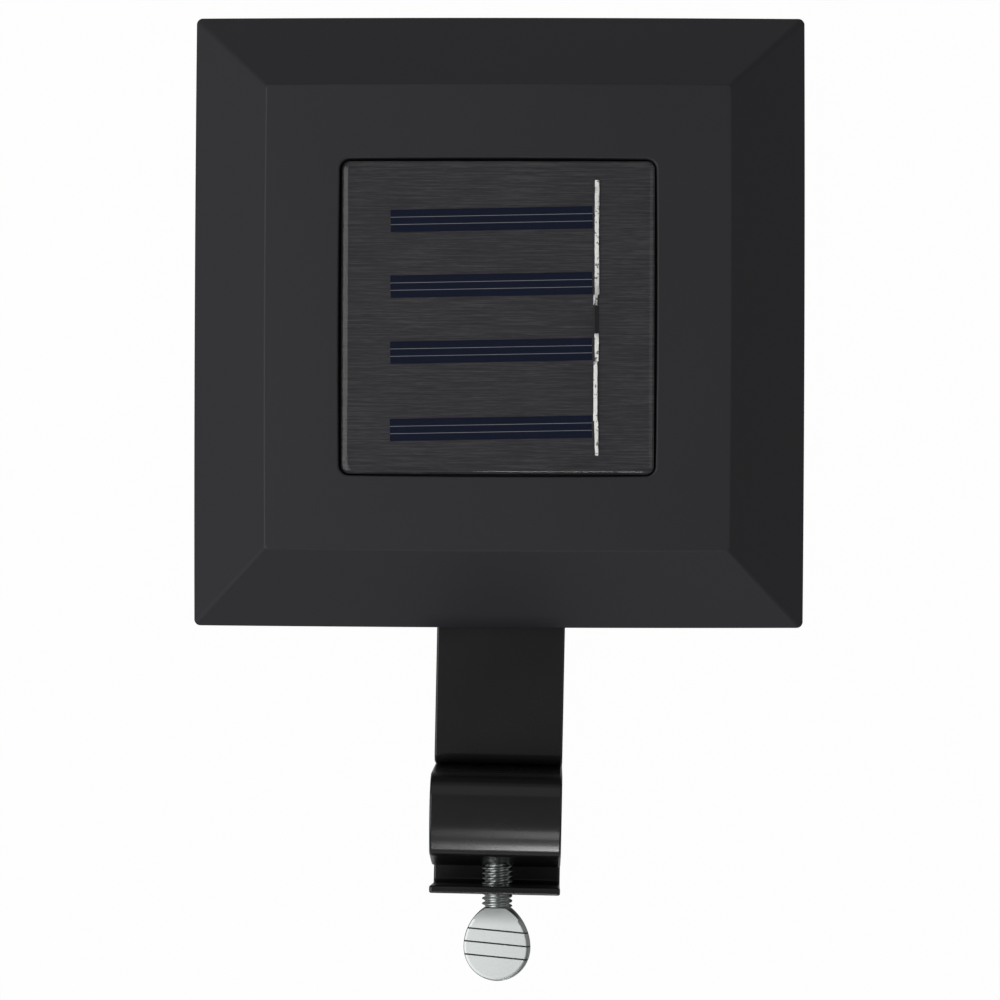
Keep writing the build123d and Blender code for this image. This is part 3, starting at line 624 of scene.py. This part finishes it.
def makeStrips():
    s = stripShape
    bm = bmesh.new()
    uv = bm.loops.layers.uv.new("strip")
    for row in s["rows"]:
        place = Matrix.Translation((s["shift"], lampCentre[1] + row, boardHigh.z))
        spin = place @ Matrix.Rotation(s["tilt"], 4, "Z")
        corners = {}
        for x in (-1, 1):
            for y in (-1, 1):
                for z in (0, 1):
                    spot = Vector((x * s["length"] / 2, y * s["width"] / 2, z * s["thickness"]))
                    corners[x, y, z] = bm.verts.new(spin @ spot)
        sides = [((-1, -1, 1), (1, -1, 1), (1, 1, 1), (-1, 1, 1)),
                 ((-1, -1, 0), (-1, 1, 0), (1, 1, 0), (1, -1, 0)),
                 ((-1, -1, 0), (1, -1, 0), (1, -1, 1), (-1, -1, 1)),
                 ((1, 1, 0), (-1, 1, 0), (-1, 1, 1), (1, 1, 1)),
                 ((1, -1, 0), (1, 1, 0), (1, 1, 1), (1, -1, 1)),
                 ((-1, 1, 0), (-1, -1, 0), (-1, -1, 1), (-1, 1, 1))]
        for side in sides:
            face = bm.faces.new([corners[key] for key in side])
            for loop, key in zip(face.loops, side):
                loop[uv].uv = ((key[0] + 1) / 2, (key[1] + 1) / 2)
    return newPiece("cellStrips", bm, "solar_cell", stands=("cell_strips",), weighted=False)


def makeRibbon():
    s = ribbonShape
    ribbonLow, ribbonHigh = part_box("cell_ribbon")
    middleX = (ribbonLow.x + ribbonHigh.x) / 2
    wobble = random.Random(s["seed"])
    bm = bmesh.new()
    rings = []
    for (place, shift, width, lean), after in zip(s["knots"], s["knots"][1:]):
        count = max(1, round((after[0] - place) * mm / s["stretch"]))
        for step in range(count):
            share = step / count
            knot = (place, shift, width, lean)
            along, side, wide, tip = [a + (b - a) * share for a, b in zip(knot, after)]
            side += wobble.uniform(-s["wander"], s["wander"])
            tip += wobble.uniform(-s["flutter"], s["flutter"])
            y = ribbonHigh.y - along * mm
            rings.append(foilRing(bm, middleX, y, side * mm, wide * mm, math.radians(tip)))
    ringFaces(bm, rings)
    bm.faces.new(rings[0][::-1])
    bm.faces.new(rings[-1])
    bmesh.ops.recalc_face_normals(bm, faces=bm.faces)
    return newPiece("foilRibbon", bm, "silver_ribbon", stands=("cell_ribbon",), sharpAngle=60)


def foilRing(bm, x, y, shift, width, lean):
    # the foil's section, a little raised along its middle and leaning over
    s = ribbonShape
    z = boardHigh.z + s["lift"] + abs(lean) * s["leanLift"] * width
    ring = []
    for across, up in ((-0.5, 0), (0.5, 0), (0.5, 1), (0, 1.25), (-0.5, 1)):
        spot = Vector((across * width, 0, up * s["thickness"]))
        spot = Matrix.Rotation(lean, 3, "Y") @ spot
        ring.append(bm.verts.new((x + shift + spot.x, y, z + spot.z)))
    return ring


makeResin()
makeStrips()
makeRibbon()
print("panel made")


bracketLow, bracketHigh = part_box("bracket")

hookShape = {
    "width": bracketHigh.x - bracketLow.x,
    "thickness": 1.5 * mm,
    "edgeRound": 0.42 * mm,
    "edgeLeast": 0.1 * mm,
    "edgeShrink": 0.6,      # how fast the edges' round goes down towards an end
    "endRound": 0.55 * mm,
    "endSteps": 5,
    "bendSteps": 14,
    "bendFlat": 0.06 * mm,
    "strapBend": 1.55 * mm,
    "jawReach": 4.3 * mm,
    "foldGap": 0.3 * mm,
    "foldDepth": 26.25 * mm,
    "archRadius": 15 * mm,
    "archTurn": math.radians(30),
    "archRun": 6.1 * mm,
    "shoulderRadius": 3 * mm,
    "farWallLean": math.radians(15),
    "kneeDepth": 15.5 * mm,
    "kneeRadius": 3 * mm,
    "footWallLean": math.radians(3),
    "troughDepth": 28.15 * mm,
    "troughWidth": 5.75 * mm,
    "troughRadius": 1.6 * mm,
    "legLean": math.radians(5.5),
    "lipDepth": 4.7 * mm,
    "screwHole": 3.3 * mm,
    "screwDepth": 16 * mm,
    "cutterY": -16 * mm,    # middle and length of the bar that cuts the holes
    "cutterLength": 20 * mm,
    "skew": math.radians(-0.95),   # the strip sits a little askew under the lamp
    "skewFrom": 2 * mm,
}


def hookLine():
    # the strip's middle, from its end under the lamp to its lip
    s = hookShape
    half = s["thickness"] / 2
    strapZ = coverLow.z - half
    jawY = s["jawReach"] + half
    dropY = jawY + s["thickness"] + s["foldGap"]
    archY = -s["archRadius"] * math.tan(s["archTurn"] / 2)
    shoulderY = archY - s["archRun"] * math.cos(s["archTurn"])
    shoulderZ = half - s["archRun"] * math.sin(s["archTurn"])
    kneeY = shoulderY - (shoulderZ + s["kneeDepth"]) * math.tan(s["farWallLean"])
    troughY = kneeY - (s["troughDepth"] - s["kneeDepth"]) * math.tan(s["footWallLean"])
    legY = troughY - s["troughWidth"]
    lipY = legY + (s["troughDepth"] - s["lipDepth"]) * math.tan(s["legLean"])
    corners = [(bracketHigh.y, strapZ), (dropY, strapZ), (dropY, -s["foldDepth"]), (jawY, -s["foldDepth"]),
               (jawY, half), (archY, half), (shoulderY, shoulderZ), (kneeY, -s["kneeDepth"]),
               (troughY, -s["troughDepth"]), (legY, -s["troughDepth"]), (lipY, -s["lipDepth"])]
    fold = (dropY - jawY - s["bendFlat"]) / 2
    radii = [s["strapBend"], fold, fold, jawY - s["bendFlat"], s["archRadius"], s["shoulderRadius"],
             s["kneeRadius"], s["troughRadius"], s["troughRadius"]]
    return roundLine([Vector((0, y, z)) for y, z in corners], radii, s["bendSteps"])


def stripSection(width, thickness, edge, steps=5):
    # a flat bar's section with round edges, as (x, out) pairs
    ring = []
    for quarter, (sideX, sideN) in enumerate(((1, 1), (-1, 1), (-1, -1), (1, -1))):
        for step in range(steps + 1):
            a = (quarter + step / steps) * math.pi / 2
            ring.append((sideX * (width / 2 - edge) + edge * math.cos(a),
                         sideN * (thickness / 2 - edge) + edge * math.sin(a)))
    return ring


def roundEnd(spot, run, inward):
    # stations that round off one of the strip's ends
    s = hookShape
    angles = [math.pi / 2 * step / s["endSteps"] for step in range(s["endSteps"] + 1)]
    reach = s["endRound"]
    return [(spot + run * (inward * reach) * (1 - math.sin(a)), run, reach * (1 - math.cos(a)))
            for a in angles]


def makeHook():
    s = hookShape
    line = hookLine()
    stations = []
    for index, spot in enumerate(line):
        ahead = line[min(index + 1, len(line) - 1)] - spot
        behind = spot - line[max(index - 1, 0)]
        inner = ahead.length and behind.length
        run = ahead.normalized() + behind.normalized() if inner else ahead + behind
        stations.append((spot, run.normalized(), 0.0))
    start = roundEnd(*stations[0][:2], 1)
    finish = roundEnd(*stations[-1][:2], -1)
    bm = bmesh.new()
    rings = []
    for spot, run, inset in start[::-1] + stations[1:-1] + finish:
        out = Vector((0, -run.z, run.y))
        edge = max(s["edgeRound"] - inset * s["edgeShrink"], s["edgeLeast"])
        ring = [spot + Vector((x, 0, 0)) + out * n
                for x, n in stripSection(s["width"] - 2 * inset, s["thickness"] - 2 * inset, edge)]
        rings.append([bm.verts.new(co) for co in ring])
    ringFaces(bm, rings)
    bm.faces.new(rings[0][::-1])
    bm.faces.new(rings[-1])
    bmesh.ops.recalc_face_normals(bm, faces=bm.faces)
    pivot = Vector((0, s["skewFrom"], 0))
    bmesh.ops.rotate(bm, verts=bm.verts, cent=pivot, matrix=Matrix.Rotation(s["skew"], 3, "Z"))
    hole = bmesh.new()
    place = Matrix.Translation((0, s["cutterY"], -s["screwDepth"])) @ Matrix.Rotation(math.pi / 2, 4, "X")
    bmesh.ops.create_cone(hole, cap_ends=True, segments=48, radius1=s["screwHole"], radius2=s["screwHole"],
                          depth=s["cutterLength"], matrix=place)
    return newPiece("hookStrip", carve(bm, hole), "black_coat", stands=("bracket",))


makeHook()
print("hook made")


screwLow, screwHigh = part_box("thumb_screw")

threadShape = {
    "crest": 3.0 * mm,
    "root": 2.39 * mm,
    "pitch": 1.0 * mm,
    "sides": 56,
    "ringsPerTurn": 10,
    "phase": 40.0,          # whole turns that keep the count above nought
    "flank": (0.12, 0.88),  # from root to crest, as shares of half a pitch
}


def geometryTree(name, sizes):
    # an empty geometry tree with named number inputs; gives the graph and the inputs by name
    tree = bpy.data.node_groups.new(name, "GeometryNodeTree")
    tree.interface.new_socket("Geometry", in_out="INPUT", socket_type="NodeSocketGeometry")
    for size in sizes:
        tree.interface.new_socket(size, in_out="INPUT", socket_type="NodeSocketFloat")
    tree.interface.new_socket("Geometry", in_out="OUTPUT", socket_type="NodeSocketGeometry")
    graph = Graph(tree)
    entry = tree.nodes.new("NodeGroupInput")
    return graph, {socket.name: Signal(graph, socket) for socket in entry.outputs if socket.name}


def closeTree(graph, geometry, material):
    real = graph.node("GeometryNodeRealizeInstances", {}, [geometry])
    painted = graph.node("GeometryNodeSetMaterial", {}, {"Geometry": real, "Material": material})
    graph.node("NodeGroupOutput", {}, [painted])
    return graph.tree


def runTree(name, tree, base, sizes):
    # the tree's modifier on a base mesh, turned into a plain mesh
    piece = bpy.data.objects.new(name, base)
    bpy.context.scene.collection.objects.link(piece)
    modifier = piece.modifiers.new(name, "NODES")
    modifier.node_group = tree
    for item in tree.interface.items_tree:
        if item.in_out == "INPUT" and item.name in sizes:
            modifier[item.identifier] = float(sizes[item.name])
    flatten(piece)
    return piece


def threadTree():
    # a fine cylinder whose skin is pushed in and out along a helix
    graph, size = geometryTree("screwThread", ["Length", "Crest", "Root", "Pitch"])
    s = threadShape
    rings = size["Length"] / size["Pitch"] * s["ringsPerTurn"]
    bar = graph.node("GeometryNodeMeshCylinder", {}, {
        "Vertices": s["sides"], "Side Segments": graph.node("FunctionNodeFloatToInt", {}, [rings]),
        "Radius": size["Crest"], "Depth": size["Length"]})
    spot = graph.node("GeometryNodeInputPosition", {}, [])
    x, y, z = spot.part(0), spot.part(1), spot.part(2)
    turn = x.math("ARCTAN2", y, x) / (2 * math.pi)
    phase = z.math("FRACT", z / size["Pitch"] - turn + s["phase"])
    ridge = abs(phase - 0.5) * 2.0
    flank = graph.node("ShaderNodeMapRange", {"interpolation_type": "SMOOTHSTEP"}, {
        "Value": ridge, 1: s["flank"][0], 2: s["flank"][1], 3: 0.0, 4: 1.0})
    radius = size["Root"] + (size["Crest"] - size["Root"]) * flank
    grow = radius / size["Crest"]
    moved = graph.node("ShaderNodeCombineXYZ", {}, [x * grow, y * grow, z])
    shaped = graph.node("GeometryNodeSetPosition", {}, {"Geometry": bar, "Position": moved})
    return closeTree(graph, shaped, finishes["plated_steel"])


spadeShape = {
    "shoulderY": -21.5 * mm,
    "widest": 6.65 * mm,
    "flankRadius": 9.5 * mm,
    "flankLength": 8.1 * mm,
    "thickness": 2.3 * mm,
    "neckThickness": 4.0 * mm,
    "rampLength": 4.2 * mm,
    "rampPower": 1.4,
    "edgeRound": 0.3 * mm,
    "edgeSteps": 6,
    "turn": math.radians(-9),
    "outlinePoints": 120,
    "outlineFrom": 0.08,        # the points start this share of a half circle on,
    "outlineSkip": 0.0155,      # which is this share of the length
    "middle": 0.82,             # where the rings shrink to, as a share of the flank
    "ringShares": (0.93, 0.86, 0.78, 0.7, 0.6, 0.5, 0.4, 0.3, 0.2, 0.1),
    "grooveStart": 4.7 * mm,
    "grooveStep": 2.6 * mm,
    "grooveCount": 3,
    "grooveWidth": 0.3 * mm,
    "grooveDepth": 0.4 * mm,
    "grooveTilt": math.radians(-3.9),
}


def spadeHalf(along):
    # half of the spade's width at a distance from its shoulder
    s = spadeShape
    if along < s["flankLength"]:
        rise = math.sqrt(s["flankRadius"] ** 2 - (s["flankLength"] - along) ** 2)
        return rise - (s["flankRadius"] - s["widest"])
    return math.sqrt(max(s["widest"] ** 2 - (along - s["flankLength"]) ** 2, 0))


def spadeOutline():
    # once round the spade's edge, as (x, distance from the shoulder)
    s = spadeShape
    length = s["flankLength"] + s["widest"]
    count = s["outlinePoints"] // 2
    right = []
    for step in range(count + 1):
        turn = math.pi * (s["outlineFrom"] + (1 - s["outlineFrom"]) * step / count)
        share = ((1 - math.cos(turn)) / 2 - s["outlineSkip"]) / (1 - s["outlineSkip"])
        along = length * share
        right.append((spadeHalf(max(along, 0)), max(along, 0)))
    return right + [(-half, along) for half, along in right[-2::-1]]


def makeSpade():
    s = spadeShape
    outline = spadeOutline()
    rounding = [math.pi / 2 * step / s["edgeSteps"] for step in range(s["edgeSteps"] + 1)]
    rings = [(s["edgeRound"] * (1 - math.cos(a)), math.sin(a)) for a in rounding]
    bm = bmesh.new()
    middle = s["flankLength"] * s["middle"]
    layers = []
    for side in (1, -1):
        half = []
        for inset, height in rings[(0 if side == 1 else 1):]:
            half.append(spadeRing(bm, outline, middle, inset, 1.0, side * height))
        for share in s["ringShares"]:
            half.append(spadeRing(bm, outline, middle, s["edgeRound"], share, side))
        layers.append(half)
    ringFaces(bm, layers[0])
    ringFaces(bm, [layers[0][0]] + layers[1])
    bm.faces.new(layers[0][-1])
    bm.faces.new(layers[1][-1][::-1])
    bmesh.ops.recalc_face_normals(bm, faces=bm.faces)
    return bm


def spadeRing(bm, outline, middle, inset, share, height):
    # the outline drawn in by an inset and then by a share, at a share of the half thickness
    s = spadeShape
    ring = []
    for x, along in outline:
        reach = math.hypot(x, along - middle)
        factor = (1 - inset / reach) * share
        px, pa = x * factor, middle + (along - middle) * factor
        ramp = max(0.0, 1 - pa / s["rampLength"])
        thick = s["thickness"] + (s["neckThickness"] - s["thickness"]) * ramp ** s["rampPower"]
        ring.append(bm.verts.new((px, -pa, height * thick / 2)))
    return ring


def grooveCutter():
    # slim bars across both faces of the spade
    s = spadeShape
    bm = bmesh.new()
    for step in range(s["grooveCount"]):
        for side in (-1, 1):
            along = s["grooveStart"] + step * s["grooveStep"]
            place = Matrix.Translation((0, -along, side * s["thickness"] / 2))
            tilt = Matrix.Rotation(s["grooveTilt"], 4, "Z")
            size = Matrix.Diagonal((4 * s["widest"], s["grooveWidth"], 2 * s["grooveDepth"], 1))
            bmesh.ops.create_cube(bm, size=1, matrix=place @ tilt @ size)
    return bm


def makeThumbScrew():
    s = spadeShape
    length = screwHigh.y - s["shoulderY"]
    sizes = {"Length": length}
    sizes.update({name.title(): threadShape[name] for name in ("crest", "root", "pitch")})
    rod = runTree("screwRod", threadTree(), bpy.data.meshes.new("screwRod"), sizes)
    axisZ = (screwLow.z + screwHigh.z) / 2
    middle = Matrix.Translation((0, s["shoulderY"] + length / 2, axisZ))
    rod.data.transform(middle @ Matrix.Rotation(-math.pi / 2, 4, "X"))
    spade = bareObject("spade", carve(makeSpade(), grooveCutter()))
    shoulder = Matrix.Translation((0, s["shoulderY"], axisZ))
    spade.data.transform(shoulder @ Matrix.Rotation(s["turn"], 4, "Y"))
    bm = bmesh.new()
    bm.from_mesh(rod.data)
    bm.from_mesh(spade.data)
    for used in (rod, spade):
        bpy.data.objects.remove(used)
    piece = newPiece("thumbScrew", bm, "plated_steel", body="screw", stands=("thumb_screw",), sharpAngle=32)
    for slot in piece.material_slots:
        slot.material = gripMetal()
    return piece


makeThumbScrew()
print("thumb screw made")


crossShape = {
    # lengths are shares of the head's radius or of its height
    "headSides": 40,
    "headRings": 7,
    "coreSides": 24,
    "domePower": 3.0,
    "domeDrop": 0.55,
    "slotLength": 1.15,
    "slotWidth": 0.24,
    "slotHeight": 1.1,
    "slotRise": 0.55,
    "coreSink": 0.499,
    "turn": 0.4,
}


def screwTree():
    # a domed head with a crossed slot and a plain core, set on each point of the base mesh
    s = crossShape
    graph, size = geometryTree("crossedScrew", ["Head Radius", "Head Height", "Core Radius", "Core Length"])
    head = graph.node("GeometryNodeMeshCylinder", {}, {
        "Vertices": s["headSides"], "Side Segments": 1, "Fill Segments": s["headRings"],
        "Radius": size["Head Radius"], "Depth": size["Head Height"]})
    spot = graph.node("GeometryNodeInputPosition", {}, [])
    x, y, z = spot.part(0), spot.part(1), spot.part(2)
    away = x.math("SQRT", x * x + y * y) / size["Head Radius"]
    drop = away.math("POWER", away, s["domePower"]) * size["Head Height"] * s["domeDrop"]
    domed = graph.node("GeometryNodeSetPosition", {}, {
        "Geometry": head, "Selection": z > 0.0,
        "Position": graph.node("ShaderNodeCombineXYZ", {}, [x, y, z - drop])})
    bar = graph.node("ShaderNodeCombineXYZ", {}, [
        size["Head Radius"] * s["slotLength"], size["Head Radius"] * s["slotWidth"],
        size["Head Height"] * s["slotHeight"]])
    rise = graph.node("ShaderNodeCombineXYZ", {}, [0.0, 0.0, size["Head Height"] * s["slotRise"]])
    cut = graph.tree.nodes.new("GeometryNodeMeshBoolean")
    cut.operation, cut.solver = "DIFFERENCE", "EXACT"
    graph.feed(cut.inputs[0], domed)
    for turn in (0, math.pi / 2):
        slot = graph.node("GeometryNodeTransform", {}, {
            "Geometry": graph.node("GeometryNodeMeshCube", {}, [bar]), "Rotation": (0, 0, turn),
            "Translation": rise})
        graph.feed(cut.inputs[1], slot)
    core = graph.node("GeometryNodeMeshCylinder", {}, {
        "Vertices": s["coreSides"], "Radius": size["Core Radius"], "Depth": size["Core Length"]})
    sink = 0.0 - (size["Head Height"] + size["Core Length"]) * s["coreSink"]
    hung = graph.node("GeometryNodeTransform", {}, {
        "Geometry": core, "Translation": graph.node("ShaderNodeCombineXYZ", {}, [0.0, 0.0, sink])})
    both = graph.tree.nodes.new("GeometryNodeJoinGeometry")
    graph.feed(both.inputs[0], hung)
    graph.feed(both.inputs[0], Signal(graph, cut.outputs[0]))
    points = graph.node("GeometryNodeMeshToPoints", {}, {"Mesh": size["Geometry"]})
    placed = graph.node("GeometryNodeInstanceOnPoints", {}, {
        "Points": points, "Instance": Signal(graph, both.outputs[0]), "Rotation": (math.pi, 0, s["turn"])})
    return closeTree(graph, placed, finishes["plated_steel"])


screwKinds = {
    # node: places from the lamp's middle, level of the head's outer face, head and core sizes, all in mm
    "battery_cover_screw": {
        "places": [(33.25, -5.25)], "top": -19.0,
        "headRadius": 1.85, "headHeight": 1.3, "coreRadius": 0.85, "coreLength": 4.2},
    "housing_screws": {
        "places": [(x, y) for x in (-49.5, 49.5) for y in (-49.5, 49.5)], "top": -18.5,
        "headRadius": 2.7, "headHeight": 1.6, "coreRadius": 1.25, "coreLength": 10},
    "bracket_screws": {
        "places": [(0, -48.5), (0, -31.5)], "top": -22.4,
        "headRadius": 3.8, "headHeight": 2.4, "coreRadius": 2.0, "coreLength": 9},
}

crossedScrew = screwTree()


def makeScrews(node, kind):
    # one screw on each place, its head downwards
    base = bpy.data.meshes.new(node)
    level = (kind["top"] + kind["headHeight"] / 2) * mm
    base.from_pydata([(x * mm, lampCentre[1] + y * mm, level) for x, y in kind["places"]], [], [])
    sizes = {"Head Radius": kind["headRadius"] * mm, "Head Height": kind["headHeight"] * mm,
             "Core Radius": kind["coreRadius"] * mm, "Core Length": kind["coreLength"] * mm}
    piece = runTree(node + "Heads", crossedScrew, base, sizes)
    piece.data.set_sharp_from_angle(angle=math.radians(40))
    return settle(piece, "lamp", (node,))


for node, kind in screwKinds.items():
    makeScrews(node, kind)
print("screws made")


floorLook = {"whiteness": 0.985, "whitenessInGloss": 0.1, "size": 3.0, "drop": 0.3 * mm}


def makeFloor():
    spot = (0, lampCentre[1], cadBox[0].z - floorLook["drop"])
    bpy.ops.mesh.primitive_plane_add(size=floorLook["size"], location=spot)
    floor = bpy.context.object
    floor.name = "floor"
    floor.data.materials.append(paperFloor())


softBoxes = {
    # place, what it looks at, width, height and power
    "left": ((-0.81, -0.08, 0.89), (0, 0.0, 0), 1.5, 1.2, 8.7),
    "right": ((0.95, 0.1, 0.9), (0, 0.07, 0), 0.9, 0.9, 0.9),
    "back": ((0.0, 1.05, 0.8), (0, 0.07, 0), 0.9, 0.9, 0.5),
    "front": ((0.03, -0.98, 0.38), (0, 0.0, 0), 0.13, 0.1, 0.75),
    "frontHigh": ((0.03, -0.8, 0.72), (0, 0.0, 0), 0.12, 0.22, 0.32),
}


def makeSoftBox(name, place, target, width, height, power):
    lamp = bpy.data.lights.new(name, "AREA")
    lamp.shape, lamp.size, lamp.size_y, lamp.energy = "RECTANGLE", width, height, power
    box = bpy.data.objects.new(name, lamp)
    bpy.context.scene.collection.objects.link(box)
    box.location = place
    box.rotation_euler = (Vector(target) - Vector(place)).to_track_quat("-Z", "Y").to_euler()


roomLight = 0.15    # from all round, where the camera sees plain white


def makeWorld():
    world = bpy.data.worlds.new("studio")
    bpy.context.scene.world = world
    world.use_nodes = True
    look = Graph(world.node_tree)
    camera = look.node("ShaderNodeLightPath", {}, [], out=0)
    room = look.node("ShaderNodeBackground", {}, {"Color": (1, 1, 1, 1), "Strength": roomLight})
    white = look.node("ShaderNodeBackground", {}, {"Color": (1, 1, 1, 1), "Strength": 1.0})
    seen = look.node("ShaderNodeMixShader", {}, [camera, room, white])
    look.node("ShaderNodeOutputWorld", {}, {"Surface": seen})


cameraFit = {
    "place": (10.55 * mm, 55.56 * mm, 549.05 * mm),
    "turn": (math.radians(0.318), math.radians(1.041), math.radians(0.215)),
    "lens": 102.95,
    "sensor": 36,
}


def makeCamera():
    data = bpy.data.cameras.new("camera")
    data.lens, data.sensor_width = cameraFit["lens"], cameraFit["sensor"]
    camera = bpy.data.objects.new("camera", data)
    bpy.context.scene.collection.objects.link(camera)
    camera.location, camera.rotation_euler = cameraFit["place"], cameraFit["turn"]
    bpy.context.scene.camera = camera


makeFloor()
for name, settings in softBoxes.items():
    makeSoftBox(name, *settings)
makeWorld()
makeCamera()
bpy.context.scene.view_settings.view_transform = "Standard"
print("studio made")
